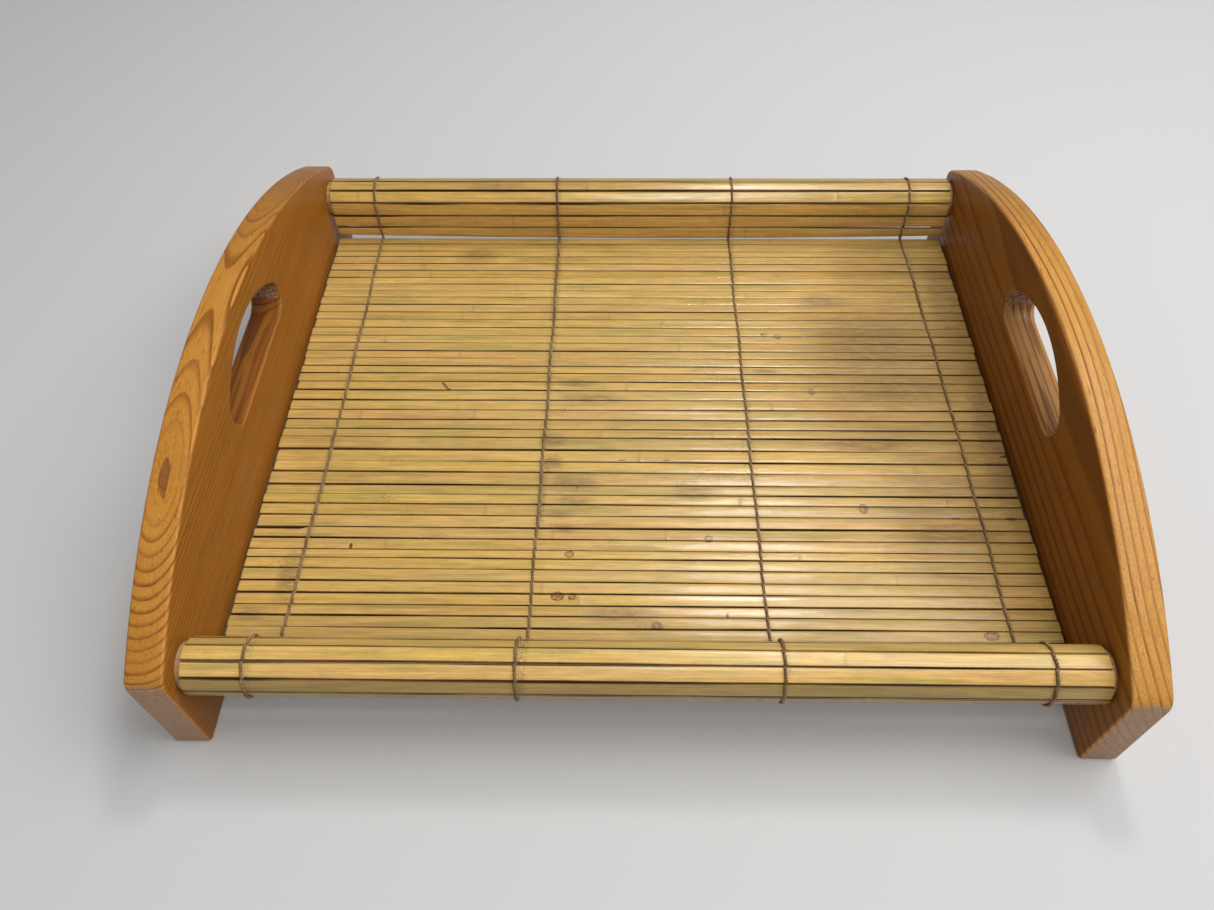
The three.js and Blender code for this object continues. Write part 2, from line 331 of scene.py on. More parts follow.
def pine(name, pith, pith_slope, ring, early, late, side_contrast, painted_side_shade, hole_light_and_shade, knot=None):
    """Varnished pine. The growth rings are cylinders round the pith line, which runs along Y through the
    point pith and climbs by pith_slope, so that all faces of the board are cut from one solid."""
    s = Shader(name)
    place, x, y, z = s.place()
    radius = growth_radius(s, place, x, y, z, pith, pith_slope)
    if knot:
        reach = knot_reach(s, place, (x, y, z), knot)
        radius = s.math("ADD", radius, s.math("MULTIPLY", s.step(reach, 3.0, 0.4), KNOT_SWELL))
    sideways, across_end, _ = s.facing()
    latewood = latewood_share(s, radius, ring)
    latewood = s.math("MULTIPLY", latewood, s.step(sideways, 0.5, 0.9, 1.0, side_contrast))
    fibres = s.noise(s.stretched(place, 1500, 16, 1500), detail=3.0, roughness=0.65)
    bands = s.noise(s.stretched(place, 120, 3, 120))
    deeper = [part * share for part, share in zip(early, (0.80, 0.70, 0.60))]
    darkest = [part * 0.55 for part in late]
    color = s.mix(latewood, early, late)
    color = s.mix(s.step(bands, 0.3, 0.75, 0.0, 0.55), color, deeper)
    color = s.shaded(color, s.step(fibres, 0.25, 0.75, 0.80, 1.10))
    # Painted shade: the board's broad faces are tinted darker than its edges.
    color = s.tinted(s.step(sideways, 0.6, 0.95), color, painted_side_shade)
    dashes = s.noise(s.stretched(place, 900, 45, 900), detail=1.0)
    color = s.mix(s.step(dashes, 0.66, 0.74, 0.0, 0.45), color, darkest)
    if knot:
        rim = s.math("MULTIPLY", s.step(reach, 0.6, 0.95), s.step(reach, 1.5, 1.0))
        color = s.mix(s.step(reach, 1.1, 0.75, 0.0, 0.75), color, (0.20, 0.065, 0.022))
        color = s.mix(s.math("MULTIPLY", rim, 0.6), color, (0.13, 0.035, 0.010))
    # The walls of the hand hole get painted light and shade: painted shade in the left panel, a cooler painted
    # light in the right one. They also get a few bold lines.
    hole_y, hole_z = HAND_HOLE_WIDTH / 2, PANEL_APEX - GRIP_THICKNESS
    in_hole = s.math("MULTIPLY", s.step(s.math("ABSOLUTE", y), hole_y + HOLE_BLEND, hole_y),
                     s.step(z, hole_z + HOLE_BLEND, hole_z))
    in_hole = s.math("MULTIPLY", in_hole, s.step(sideways, 0.85, 0.5))
    color = s.tinted(in_hole, color, hole_light_and_shade)
    hole_lines = s.noise(s.stretched(place, 330, 14, 50), detail=1.0)
    color = s.mix(s.math("MULTIPLY", in_hole, s.step(hole_lines, 0.50, 0.62, 0.0, 0.6)), color, darkest)
    # Painted shade: the top edges go darker towards the back, where less light falls on them.
    back_edge_shade = s.math("MULTIPLY", s.step(y, DARK_FROM, DARK_TO), s.step(sideways, 0.9, 0.5))
    color = s.tinted(back_edge_shade, color, (0.70, 0.66, 0.60))
    end_grain = s.step(across_end, 0.80, 0.97)
    color = s.mix(end_grain, color, end_grain_color(s, place, latewood, in_hole))
    uneven = s.noise(s.stretched(place, 45, 25, 45), detail=3.0)
    roughness = s.math("MULTIPLY_ADD", end_grain, 0.18, s.step(uneven, 0.3, 0.7, 0.34, 0.48))
    height = s.math("MULTIPLY_ADD", latewood, 0.35, s.math("MULTIPLY", fibres, 0.5))
    height = s.math("MULTIPLY_ADD", uneven, 0.6, height)
    return s.finish(color, roughness, height, 0.16 * MM, Specular_IOR_Level=0.3, IOR=1.45)


# ======================================== bamboo, yarn, bare wood and hardboard

# Marks on the tray's floor, in mm: (x, y, reach along the slats, reach across them).
# Most of these smudges are dirt, but the broad one at (140, 58) and the strips along the right panel at x 196
# and 198 are painted shadow.
SMUDGES_AND_SHADOWS = (
    (-36, 24, 18, 5), (-28, 12, 28, 6), (-49, -20, 11, 7), (-49, -36, 9, 9), (-37, -50, 20, 9),
    (-36, -62, 15, 6), (-44, -70, 14, 5), (-41, -80, 13, 5), (-12, -131, 26, 6), (-62, -150, 11, 6),
    (-108, 140, 20, 12), (140, 58, 42, 36), (150, 20, 46, 18), (128, -22, 34, 7), (165, -82, 36, 9),
    (30, -57, 18, 6), (75, 33, 14, 5), (196, 90, 14, 60), (198, -20, 10, 90), (-181, -112, 8, 22),
    (-196, -132, 12, 6), (-96, 168, 34, 5), (118, 96, 26, 9),
)
# The right of the floor lies under painted shade from the right panel, mixed with grime, where the varnish is
# also duller. A few slats carry a painted highlight along an edge, where they are also smoother.
DULL_AND_SHADE = (
    (152, 32, 84, 92), (178, -70, 66, 96), (165, 125, 58, 48),
)
HIGHLIGHT_STREAKS = (
    (42, -121, 46, 1.9), (22, 1, 44, 1.6), (44, 76, 50, 1.6), (-30, 100, 30, 1.5),
)
SPECKLES = (
    (-38, 24, 12, 4), (-46, 2, 8, 5), (-14, -9, 11, 3), (-50, -20, 11, 6), (-50, -36, 9, 10),
    (-36, -52, 18, 6), (-140, -61, 9, 4), (-107, -86, 9, 4), (-118, -87, 6, 3), (-190, -104, 9, 4),
    (-140, -35, 9, 3), (40, 36, 11, 6), (50, 28, 11, 5), (73, 33, 13, 4), (40, -44, 14, 5),
    (22, -51, 5, 4), (4, -137, 10, 4), (-15, -88, 6, 2), (-107, 4, 3, 3), (62, -30, 7, 30),
    (-62, -150, 9, 5), (62, -150, 8, 5),
)
RINGS = (
    (-42, -121, 4.0, 3.4), (-34.5, -121, 2.8, 2.6), (-37, -96, 3.0, 2.6), (36, -86, 2.8, 2.6),
    (120, -66, 3.0, 3.8), (171, -141, 4.6, 3.2), (78, 65, 2.6, 2.4), (86, 64, 2.8, 2.8),
    (102, 18, 2.2, 3.4), (8, -137, 3.6, 2.6),
)
CHIPS = (
    (-117.5, 23.5, 0.8, 1.2), (-116.4, 21.8, 0.8, 1.3), (-115, 20, 0.9, 1.2), (-113.4, 18.6, 1.2, 1.0),
    (168, -72, 3.4, 0.7), (197, -72, 3.6, 1.1), (-10, -34, 2.2, 0.4), (15, -34, 2.4, 0.4),
    (-152, -92, 1.0, 2.0), (43, -131, 0.9, 1.6), (204, -30, 3.0, 1.0),
)
# (aside, bow, slope) of each thread against its nominal line.
THREAD_WANDER = (
    (-0.8 * MM, 1.8 * MM, 0.7 * MM),
    (1.4 * MM, 1.0 * MM, 1.0 * MM),
    (-0.6 * MM, 0.0, -0.4 * MM),
    (-2.6 * MM, 1.6 * MM, -1.0 * MM),
)
THREAD_WOBBLE = 0.3 * MM
WOBBLE_RATE = 90  # radians in a metre
DIRTIEST_THREAD = 1
GRIME_REACH = 3.2 * MM  # to each side of a thread
DIRTIEST_REACH = 4.5 * MM
GRIME_SHIFT = 1 * MM  # to the right of the thread


def bamboo_color(s, strip, hue, tone):
    """The slat's own varnished colour, with its coarse streaks and its fine fibres."""
    color = s.mix(s.step(hue, 0.0, 0.45), (0.575, 0.375, 0.097), (0.625, 0.395, 0.102))
    color = s.mix(s.step(hue, 0.6, 1.0), color, (0.625, 0.375, 0.116))
    pale = s.noise(s.stretched(strip, 9, 60, 50))
    color = s.mix(s.step(pale, 0.35, 0.72, 0.0, 0.6), color, (0.66, 0.43, 0.135))
    green = s.noise(s.stretched(strip, 16, 260, 70))
    color = s.mix(s.step(green, 0.48, 0.72, 0.0, 0.75), color, (0.42, 0.315, 0.072))
    pink = s.noise(s.stretched(strip, 12, 500, 91))
    color = s.mix(s.step(pink, 0.52, 0.74, 0.0, 0.65), color, (0.57, 0.28, 0.10))
    streak = s.noise(s.stretched(strip, 14, 1500, 60), detail=3.0, roughness=0.7)
    fibre = s.noise(s.stretched(strip, 110, 5200, 60), roughness=0.6)
    mottle = s.noise(s.stretched(strip, 60, 420, 60), detail=3.0, roughness=0.65)
    shade = s.math("MULTIPLY", s.step(streak, 0.25, 0.75, 0.80, 1.13), s.step(fibre, 0.3, 0.7, 0.90, 1.06))
    shade = s.math("MULTIPLY", shade, s.step(mottle, 0.3, 0.7, 0.90, 1.08))
    # On the rim slats the tone also holds painted light and shade.
    return s.shaded(color, s.math("MULTIPLY", shade, tone)), streak, fibre


def thread_grime(s, x):
    """1 beside the dirtiest thread, less beside the others, 0 away from them."""
    grime = 0.0
    for index, thread_x in enumerate(THREAD_X):
        dirtiest = index == DIRTIEST_THREAD
        offset = s.math("ABSOLUTE", s.math("SUBTRACT", x, thread_x + THREAD_WANDER[index][0] + GRIME_SHIFT))
        near = s.step(offset, DIRTIEST_REACH if dirtiest else GRIME_REACH, 0.5 * MM)
        grime = s.math("MAXIMUM", grime, s.math("MULTIPLY", near, 1.0 if dirtiest else 0.55))
    return grime


def bamboo_material():
    """Varnished bamboo. Each slat carries its own tone (on the rim slats with painted light and shade in it),
    hue, seed, gloss, place across it and node marks.
    """
    s = Shader("bamboo_slat")
    place, x, *_ = s.place()
    tone, hue, seed, across, node = (s.own(name) for name in ("tone", "hue", "seed", "across", "node"))
    # The slat's own space, 6 mm wide, in its own part of the noises.
    strip = s.vector(x, s.math("MULTIPLY", across, 3 * MM), s.math("MULTIPLY", seed, 0.37))
    color, streak, fibre = bamboo_color(s, strip, hue, tone)
    # Grime and smudges, painted shadow along the right panel, painted shade over the duller right of the floor,
    # and painted highlights on smoother stretches.
    grime = thread_grime(s, x)
    cloud = s.noise(s.stretched(place, 26, 26, 26), detail=3.0, roughness=0.6)
    local = s.noise(s.stretched(strip, 130, 600, 60), detail=4.0, roughness=0.75)
    fine = s.noise(s.stretched(place, 1100, 1100, 1100), roughness=0.7)
    grime = s.math("MULTIPLY", grime, s.step(cloud, 0.34, 0.60))
    grime = s.math("MULTIPLY", grime, s.step(fine, 0.40, 0.62))
    smudges_and_shadows = s.step(s.spots(place, SMUDGES_AND_SHADOWS), 0.0, 0.75)
    smudges_and_shadows = s.math("MULTIPLY", smudges_and_shadows, s.step(local, 0.30, 0.62, 0.25, 1.0))
    patches = s.math("MULTIPLY", s.step(cloud, 0.58, 0.75), s.step(local, 0.40, 0.65))
    dull_and_shade = s.math("MULTIPLY", s.step(s.spots(place, DULL_AND_SHADE), 0.0, 0.6), s.step(local, 0.25, 0.60, 0.7, 1.0))
    # Painted shade from the right panel, mixed with grime, over the right of the floor.
    color = s.tinted(dull_and_shade, color, (0.72, 0.675, 0.57))
    polish_and_highlight = s.math("MULTIPLY", s.step(s.spots(place, HIGHLIGHT_STREAKS), 0.0, 0.6), s.step(streak, 0.3, 0.6, 0.4, 1.0))
    # Painted highlight: a pale streak along a few slats.
    color = s.mix(s.math("MULTIPLY", polish_and_highlight, 0.35), color, (0.86, 0.76, 0.52))
    color = s.mix(s.math("MULTIPLY", patches, 0.35), color, (0.34, 0.24, 0.10))
    # Smudges of dirt, and painted shadow along the right panel.
    color = s.mix(s.math("MULTIPLY", smudges_and_shadows, 0.72), color, (0.24, 0.140, 0.050))
    color = s.mix(s.math("MULTIPLY", grime, 0.85), color, (0.14, 0.085, 0.036))
    dirt = s.math("MAXIMUM", grime, smudges_and_shadows)
    # Mildew specks, ring-shaped marks and small chips.
    distance, chance = s.cells(s.stretched(place, 1, 1, 0), seed, 150)
    speck = s.math("MULTIPLY", s.step(distance, 0.10, 0.05), s.step(chance, 0.972, 0.980))
    dotted = s.step(s.noise(s.stretched(place, 950, 1300, 900)), 0.56, 0.66)
    dotted = s.math("MULTIPLY", dotted, s.step(s.spots(place, SPECKLES), 0.0, 0.5))
    rings = s.spots(place, RINGS, ragged=0.5)
    rings = s.math("MULTIPLY", s.step(rings, 0.05, 0.25), s.step(rings, 0.72, 0.48, 0.40, 1.0))
    rings = s.math("MULTIPLY", rings, s.step(fine, 0.36, 0.56, 0.2, 1.0))
    chips = s.step(s.spots(place, CHIPS, ragged=0.5), 0.0, 0.2)
    color = s.mix(s.math("MULTIPLY", s.math("MAXIMUM", speck, dotted), 0.8), color, (0.13, 0.065, 0.022))
    color = s.mix(rings, color, (0.175, 0.075, 0.020))
    color = s.mix(s.math("MULTIPLY", chips, 0.85), color, (0.05, 0.022, 0.008))
    # Nodes of the culm: a darker band.
    color = s.mix(s.math("MULTIPLY", node, 0.35), color, (0.33, 0.20, 0.07))
    # Dirt and old varnish in the seams, more in some places than in others.
    seam = s.step(s.math("ABSOLUTE", across), 0.84, 0.98)
    dirty = s.step(s.noise(s.stretched(strip, 12, 30, 60), detail=1.0), 0.35, 0.62, 0.35, 1.0)
    color = s.mix(s.math("MULTIPLY", seam, dirty), color, (0.075, 0.032, 0.008))
    gloss = s.noise(s.stretched(place, 70, 160, 70), detail=3.0)
    roughness = s.step(s.own("gloss"), 0, 1, 0.42, 0.17)
    roughness = s.math("MULTIPLY", s.step(gloss, 0.35, 0.65, 0.8, 1.25), roughness)
    for mark, rougher in ((dirt, 0.25), (dull_and_shade, 0.14), (polish_and_highlight, -0.14)):
        roughness = s.math("MULTIPLY_ADD", mark, rougher, roughness)
    swell = s.noise(s.stretched(strip, 45, 300, 60))
    height = s.math("MULTIPLY_ADD", fibre, 0.22, s.math("MULTIPLY", streak, 0.5))
    height = s.math("MULTIPLY_ADD", swell, 1.2, height)
    return s.finish(color, roughness, height, 0.12 * MM, Coat_Weight=0.2, Coat_Roughness=0.1, IOR=1.5)


def string_material():
    """Thin cotton yarn, worn and dirty, with painted shade in the groove between its plies."""
    s = Shader("mat_string")
    place, *_ = s.place()
    ply = s.own("ply")
    fuzz = s.noise(s.stretched(place, 5000, 5000, 5000), detail=3.0)
    dirt = s.noise(s.stretched(place, 90, 90, 90), detail=3.0)
    color = s.mix(s.step(dirt, 0.35, 0.65), (0.33, 0.215, 0.105), (0.20, 0.120, 0.055))
    # Painted shade in the groove between the two plies.
    color = s.mix(s.step(ply, 0.5, 0.0, 0.0, 0.5), color, (0.085, 0.045, 0.018))
    color = s.mix(s.step(fuzz, 0.5, 0.75, 0.0, 0.5), color, (0.40, 0.27, 0.13))
    return s.finish(color, 0.9, fuzz, 0.12 * MM, Specular_IOR_Level=0.2)


def bare_wood(name, light, dark, streak_scale):
    """Planed softwood with no varnish, its grain along X."""
    s = Shader(name)
    place, *_ = s.place()
    sway = s.noise(s.stretched(place, 6, 90, 90))
    lines = s.noise(s.stretched(place, 8, streak_scale, streak_scale), detail=3.0, roughness=0.65)
    pores = s.noise(s.stretched(place, 140, 2600, 2600))
    color = s.mix(s.step(lines, 0.35, 0.68), light, dark)
    color = s.mix(s.step(sway, 0.4, 0.7, 0.0, 0.4), color, [part * 0.7 for part in light])
    color = s.mix(s.step(pores, 0.62, 0.72, 0.0, 0.45), color, [part * 0.5 for part in dark])
    height = s.math("MULTIPLY_ADD", pores, 0.5, lines)
    return s.finish(color, 0.62, height, 0.15 * MM)


def hardboard():
    """Pressed brown fibre board."""
    s = Shader("hardboard")
    place, *_ = s.place()
    flakes = s.noise(s.stretched(place, 420, 420, 420), detail=4.0, roughness=0.7)
    clouds = s.noise(s.stretched(place, 14, 14, 14))
    color = s.mix(s.step(flakes, 0.35, 0.65), (0.085, 0.045, 0.020), (0.15, 0.085, 0.040))
    color = s.mix(s.step(clouds, 0.4, 0.7, 0.0, 0.4), color, (0.10, 0.055, 0.027))
    return s.finish(color, 0.7, flakes, 0.1 * MM)


# ======================================== side panels


def panel_outline():
    """The panel's outline in the YZ plane, anticlockwise from the middle of the foot."""
    rise = PANEL_APEX - PANEL_END_HEIGHT
    arch_radius = (PANEL_HALF_LENGTH**2 + rise**2) / (2 * rise)
    arch_z = PANEL_APEX - arch_radius
    corner_y = PANEL_HALF_LENGTH - PANEL_TOP_CORNER
    corner_z = arch_z + math.sqrt((arch_radius - PANEL_TOP_CORNER) ** 2 - corner_y**2)
    corner_angle = math.atan2(corner_z - arch_z, corner_y)
    foot_centre = (PANEL_HALF_LENGTH - PANEL_FOOT_CORNER, PANEL_FOOT_CORNER)
    foot = arc(foot_centre, PANEL_FOOT_CORNER, -math.pi / 2, 0, 6)
    corner = arc((corner_y, corner_z), PANEL_TOP_CORNER, 0, corner_angle, 10)
    face = np.linspace(foot[-1], corner[0], 12)[1:-1]
    back = np.vstack([foot, face, corner])
    arch = arc((0, arch_z), arch_radius, corner_angle, math.pi - corner_angle, 110)[1:-1]
    bottom = np.linspace(-foot[0] * [1, -1], foot[0], 60)[1:-1]
    return np.vstack([back, arch, mirrored(back), bottom])


def hand_hole_outline():
    top = PANEL_APEX - GRIP_THICKNESS
    bottom = top - HAND_HOLE_HEIGHT
    radius = HAND_HOLE_CORNER
    corner_y = HAND_HOLE_WIDTH / 2 - radius
    corner_z = bottom + radius
    drop = top - corner_z
    arch_radius = (corner_y**2 + drop**2 - radius**2) / (2 * (drop - radius))
    arch_z = top - arch_radius
    arch_angle = math.atan2(corner_z - arch_z, corner_y)
    corner = arc((corner_y, corner_z), radius, -math.pi / 2, arch_angle, 22)
    arch = arc((0, arch_z), arch_radius, arch_angle, math.pi - arch_angle, 40)[1:-1]
    bottom_line = np.linspace(corner[0] * [-1, 1], corner[0], 26)[1:-1]
    return np.vstack([corner, arch, mirrored(corner), bottom_line])


def outward_normals(loop):
    ahead = np.roll(loop, -1, axis=0) - loop
    behind = loop - np.roll(loop, 1, axis=0)
    unit = lambda v: v / np.linalg.norm(v, axis=1, keepdims=True)
    tangent = unit(unit(ahead) + unit(behind))
    return np.column_stack([tangent[:, 1], -tangent[:, 0]])


def rounded_wall(loop, sign, half, edge_round):
    """Rings from one face of the board to the other that follow a loop with eased edges.
    sign is 1 on the board's outside and -1 in a hole. Returns (N, 3) arrays of (depth, y, z)."""
    normals = outward_normals(loop) * sign
    rings = []
    for angle in np.radians((90, 75, 60, 45, 30, 15, 0)):
        inset = edge_round * (1 - math.cos(angle))
        depth = half - edge_round * (1 - math.sin(angle))
        rings.append(np.column_stack([np.full(len(loop), depth), loop - normals * inset]))
    other_side = [ring * [-1, 1, 1] for ring in rings[::-1]]
    return rings + other_side


def side_panel(name, side, material, node, shift=0.0, lean=0.0):
    """side is -1 for the left panel and 1 for the right one. The board as it was glued in stands off its
    nominal place by shift along Y, and its top leans outwards by lean, a share of the height."""
    half = PANEL_THICKNESS / 2
    work = bmesh.new()
    rims = []  # for the outline and for the hand hole, the rows that border the board's two faces
    for loop, sign in ((panel_outline(), 1), (hand_hole_outline(), -1)):
        rings = rounded_wall(loop, sign, half, PANEL_EDGE_ROUND)
        rows = [[work.verts.new(point) for point in ring] for ring in rings]
        for row, following in zip(rows, rows[1:]):
            for j in range(len(row)):
                k = (j + 1) % len(row)
                work.faces.new((row[j], row[k], following[k], following[j]))
        rims.append((rows[0], rows[-1]))
    for face_rims in zip(*rims):
        edges = []
        for row in face_rims:
            edges += [work.edges.get(pair) for pair in zip(row, row[1:] + row[:1])]
        bmesh.ops.triangle_fill(work, use_beauty=True, use_dissolve=False, edges=edges)
    work.transform(Matrix.Translation((side * PANEL_CENTRE_X, shift, 0)))
    for vertex in work.verts:
        vertex.co.x += side * lean * vertex.co.z
    bmesh.ops.recalc_face_normals(work, faces=work.faces)
    mesh = bpy.data.meshes.new(name)
    work.to_mesh(mesh)
    work.free()
    obj = bpy.data.objects.new(name, mesh)
    bpy.context.scene.collection.objects.link(obj)
    inner_x = side * (PANEL_CENTRE_X - half)
    for y in (-RIM_Y, RIM_Y):
        cut(obj, round_cutter(inner_x, y, RIM_Z, ROLL_RADIUS, BORE_DEPTH))
    cut(obj, groove_cutter(inner_x))
    smooth_by_angle(obj)
    return finish_piece(obj, material, "pine_panel", node)


def cut(obj, cutter):
    modifier = obj.modifiers.new("cut", "BOOLEAN")
    modifier.operation = "DIFFERENCE"
    modifier.solver = "EXACT"
    modifier.object = cutter
    result = bpy.data.meshes.new_from_object(obj.evaluated_get(bpy.context.evaluated_depsgraph_get()))
    obj.modifiers.clear()
    obj.data = result
    bpy.data.objects.remove(cutter)


def round_ring(y, z, radius, sides):
    """A circle round a line along X, at x = 0."""
    angles = np.linspace(0, 2 * math.pi, sides, endpoint=False)
    return np.column_stack([np.zeros(sides), y + radius * np.cos(angles), z + radius * np.sin(angles)])


def round_cutter(x, y, z, radius, depth):
    ring = round_ring(y, z, radius, BORE_SIDES)
    rings = np.vstack([ring + [x - depth, 0, 0], ring + [x + depth, 0, 0]])
    return new_object("cutter", rings, loft_faces(2, BORE_SIDES)[::-1])


def groove_cutter(x):
    low = np.array([x - GROOVE_DEPTH, BOARD_LOW[1] - CLEARANCE, BOARD_LOW[2] - CLEARANCE])
    high = np.array([x + GROOVE_DEPTH, BOARD_HIGH[1] + CLEARANCE, BOARD_HIGH[2] + CLEARANCE])
    section = np.array([[low[1], low[2]], [high[1], low[2]], [high[1], high[2]], [low[1], high[2]]])
    rings = np.vstack([np.column_stack([np.full(4, end), section]) for end in (low[0], high[0])])
    return new_object("cutter", rings, loft_faces(2, 4)[::-1])


# ======================================== bars and board


def eased_bar(name, node, material, slot, edge=0.8 * MM):
    """A sawn bar along X with eased long edges, in its CAD node's place."""
    low, high = (np.array(corner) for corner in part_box(node))
    centre, half = (low + high) / 2, (high - low) / 2
    quarter = math.pi / 2
    section = []
    for side_y, side_z, start in ((1, -1, -quarter), (1, 1, 0), (-1, 1, quarter), (-1, -1, 2 * quarter)):
        corner = centre[1:] + (half[1:] - edge) * [side_y, side_z]
        section.append(arc(corner, edge, start, start + quarter, 4))
    section = np.vstack(section)
    stations = np.linspace(low[0], high[0], 40)
    rings = np.vstack([np.column_stack([np.full(len(section), x), section]) for x in stations])
    obj = new_object(name, rings, loft_faces(len(stations), len(section)))
    smooth_by_angle(obj)
    return finish_piece(obj, material, slot, node)


def rim_dowel(name, node, material, chamfer=0.8 * MM):
    """A round bar with chamfered ends, in its CAD node's place."""
    low, high = (np.array(corner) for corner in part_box(node))
    centre = (low + high) / 2
    stations = [(low[0], -chamfer), (low[0] + chamfer, 0)]
    stations += [(x, 0) for x in np.linspace(low[0] + 2 * chamfer, high[0] - 2 * chamfer, 30)]
    stations += [(high[0] - chamfer, 0), (high[0], -chamfer)]
    rings = []
    for x, inset in stations:
        rings.append(round_ring(centre[1], centre[2], DOWEL_RADIUS + inset, DOWEL_SIDES) + [x, 0, 0])
    obj = new_object(name, np.vstack(rings), loft_faces(len(stations), DOWEL_SIDES))
    smooth_by_angle(obj)
    return finish_piece(obj, material, "bar_wood", node)


# ======================================== bamboo slats

SLAT_END_ROUND = 0.9 * MM  # of a slat's corners, seen from above
SLAT_END_ACROSS = 0.7  # how deep the rounding goes across the slat, as a share of the round
SLAT_END_EASE = 0.35 * MM  # over this length the top of a slat's end falls by SLAT_END_DROP
SLAT_END_DROP = 0.2 * MM
END_STATIONS = np.array([0, 0.12, 0.35, 0.9]) * MM
RIDGE_REACH = 0.9 * MM  # of the ridge over a node of the culm
RIDGE_HEIGHT = 0.10 * MM
RIDGE_STATIONS = np.array([-1.6, -0.8, -0.3, 0, 0.3, 0.8, 1.6]) * MM
SLAT_STATIONS = 84
SPLIT_DEPTH = 1.7 * MM  # of the sliver that one slat has lost from its back edge
SPLIT_END = 2 * MM  # it ends this far to the left of the first thread
SPLIT_FADE = 4 * MM


class Slat:
    """One slat's place in the mat: where the middle of its underside is in the YZ plane, which way it faces,
    how wide it is and how it strays from straight."""

    def __init__(self, name, base, normal_angle, width, skew=0.0, nodes=()):
        self.name = name
        self.base = np.array(base)
        self.normal = np.array([math.cos(normal_angle), math.sin(normal_angle)])
        self.along = np.array([self.normal[1], -self.normal[0]])  # along the mat, from front to back
        self.width = width
        self.skew = skew  # how far the right end is shifted along the mat against the middle
        self.nodes = nodes
        self.bow = rng.normal(0, 0.18 * MM)
        self.bow_phase = rng.uniform(0, math.pi)
        self.taper = rng.normal(0, 0.012)
        self.lift = abs(rng.normal(0, 0.10 * MM))
        self.ends = SLAT_HALF_LENGTH - rng.uniform(0, 1.1 * MM, 2)
        self.tilt = rng.normal(0, 0.022)  # rise across the slat, as a share of the distance
        self.tone = rng.uniform(0.90, 1.08)
        self.hue = rng.uniform(0, 1)
        self.seed = rng.uniform(0, 40)
        self.gloss = rng.uniform(0, 1) ** 2
        self.split = 0.0
        self.belly = 0.0
        self.sag = 0.0

    def drift(self, x):
        """How far the slat's middle line strays along the mat at x."""
        share = x / SLAT_HALF_LENGTH
        return self.skew * share + self.bow * np.sin(self.bow_phase + share * 2.2) + self.sag * (1 - share**2)

    def half_width(self, x):
        share = x / SLAT_HALF_LENGTH
        return self.width / 2 * (1 + self.taper * share + self.belly * (1 - share**2))


def slat_section(edge=0.24 * MM, crown=0.06 * MM, foot=0.2 * MM, foot_inset=0.12 * MM):
    """(place across as a share of the half width, extra inset across, height) round the section."""
    shoulder = SLAT_THICKNESS - crown
    back = [
        (1, -foot_inset, 0.0), (1, 0, foot), (1, 0, shoulder - edge),
        (1, -0.3 * edge, shoulder - 0.3 * edge), (1, -edge, shoulder), (0.5, 0, SLAT_THICKNESS - 0.2 * crown),
    ]
    front = [(-share, -inset, height) for share, inset, height in back[::-1]]
    return np.array([front[-1], (0.0, 0, 0.0), *back, (0.0, 0, SLAT_THICKNESS), *front[:-1]])


def slat_stations(low, high, nodes):
    """Where along X the slat has sections: closer together at its ends and at its nodes."""
    ridges = [x + RIDGE_STATIONS for x in nodes]
    even = np.linspace(low + 5 * MM, high - 5 * MM, SLAT_STATIONS)
    return np.unique(np.concatenate([low + END_STATIONS, even, *ridges, high - END_STATIONS]))


def build_slat(slat, material, *nodes):
    section = slat_section()
    share, inset, height = section.T
    top = height > 0.5 * SLAT_THICKNESS
    low, high = -slat.ends[0], slat.ends[1]
    stations = slat_stations(low, high, slat.nodes)
    rings, across, node_marks = [], [], []
    for x in stations:
        from_end = min(x - low, high - x)
        missing = max(0.0, SLAT_END_ROUND - from_end)
        rounding = SLAT_END_ROUND - math.sqrt(SLAT_END_ROUND**2 - missing**2)
        half = slat.half_width(x) - rounding * SLAT_END_ACROSS
        ridge = sum(math.exp(-(((x - node) / RIDGE_REACH) ** 2)) for node in slat.nodes)
        v = share * half + inset + slat.drift(x)
        lost = slat.split * min(1.0, max(0.0, (THREAD_X[0] - SPLIT_END - x) / SPLIT_FADE))
        v -= lost * (share > 0.7)  # at the back edge only
        drop = SLAT_END_DROP * max(0.0, 1 - from_end / SLAT_END_EASE)
        w = height + slat.lift + top * (RIDGE_HEIGHT * ridge - drop) + slat.tilt * share * half
        place = slat.base + np.outer(v, slat.along) + np.outer(w, slat.normal)
        rings.append(np.column_stack([np.full(len(v), x), place]))
        across.append(share + inset / half)
        node_marks.append(np.full(len(v), min(ridge, 1.0)))
    obj = new_object(slat.name, np.vstack(rings), loft_faces(len(stations), len(section)))
    smooth_by_angle(obj, 50)
    store(obj, "across", np.concatenate(across))
    store(obj, "node", np.concatenate(node_marks))
    for name in ("tone", "hue", "seed", "gloss"):
        store(obj, name, np.full(len(obj.data.vertices), getattr(slat, name)))
    return finish_piece(obj, material, "bamboo", *nodes)


def node_places():
    """Where the culm's nodes cross a slat: most slats have one or two, some none."""
    count = rng.choice([0, 1, 1, 2])
    return tuple(sorted(rng.uniform(-0.95, 0.95, count) * SLAT_HALF_LENGTH))


# Seams that stand open at one end: (slat, which end, by how much).
OPEN_SEAMS = ((19, -1, 0.5 * MM), (28, -1, 0.5 * MM), (23, 1, 0.6 * MM), (17, -1, 0.4 * MM), (5, 1, 0.5 * MM))
SPLIT_SLAT = 11
CLOSE_FROM = 29  # from this slat to the back, most seams are tight
BOLD_SEAMS = tuple(y * MM for y in (34, 14, -1, -22, -42, -79, -115, -125))  # where the widest seams are
BOLD_GAP = 0.8 * MM


